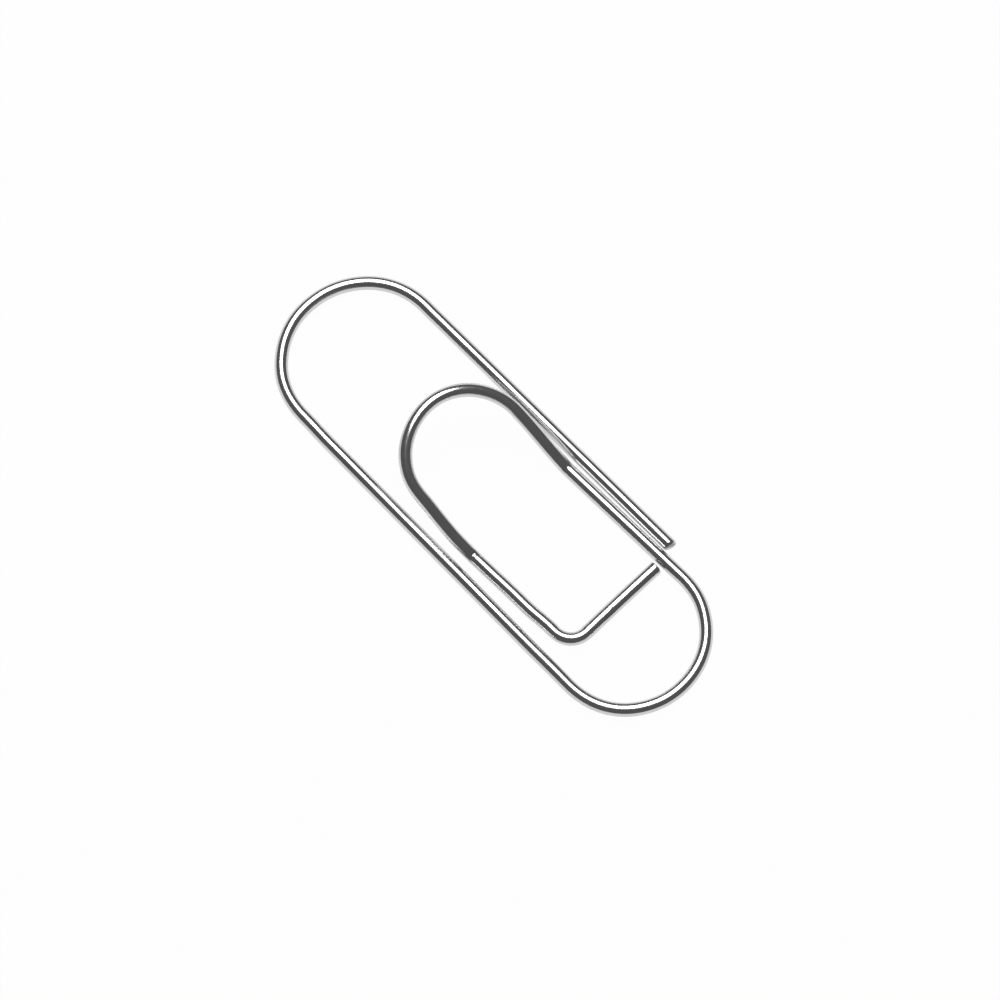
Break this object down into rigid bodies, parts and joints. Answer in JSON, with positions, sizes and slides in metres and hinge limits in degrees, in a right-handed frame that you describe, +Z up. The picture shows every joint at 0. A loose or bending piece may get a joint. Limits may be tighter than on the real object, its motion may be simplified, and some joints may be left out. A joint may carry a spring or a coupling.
{
  "type": "paper clip",
  "caption": "Wide paper clip bent from one round wire, with a squared tongue and a lifted rounded lip that springs up to take sheets.",
  "frame": {"origin": "centre of the clip's box, on the surface that it lies on", "axes": "+X along the clip's length towards the end bow, +Y towards the free outer leg, +Z up, the way the lip is lifted"},
  "size_m": [0.05, 0.017, 0.0058],
  "materials": {
    "bright_wire": "bright plated round steel wire, smooth, with fine drawing lines and small die marks"
  },
  "bodies": {
    "outer_loop": {"outer_loop": "bright_wire"},
    "tongue": {"tongue": "bright_wire"}
  },
  "joints": [
    {"name": "tongue_flex", "type": "hinge", "parent": "outer_loop", "child": "tongue", "pos_m": [0.02437, -0.00039, 0.00063], "axis": [0, 1, 0], "range_deg": [0, 10], "stiffness_Nm_per_rad": 0.66}
  ]
}
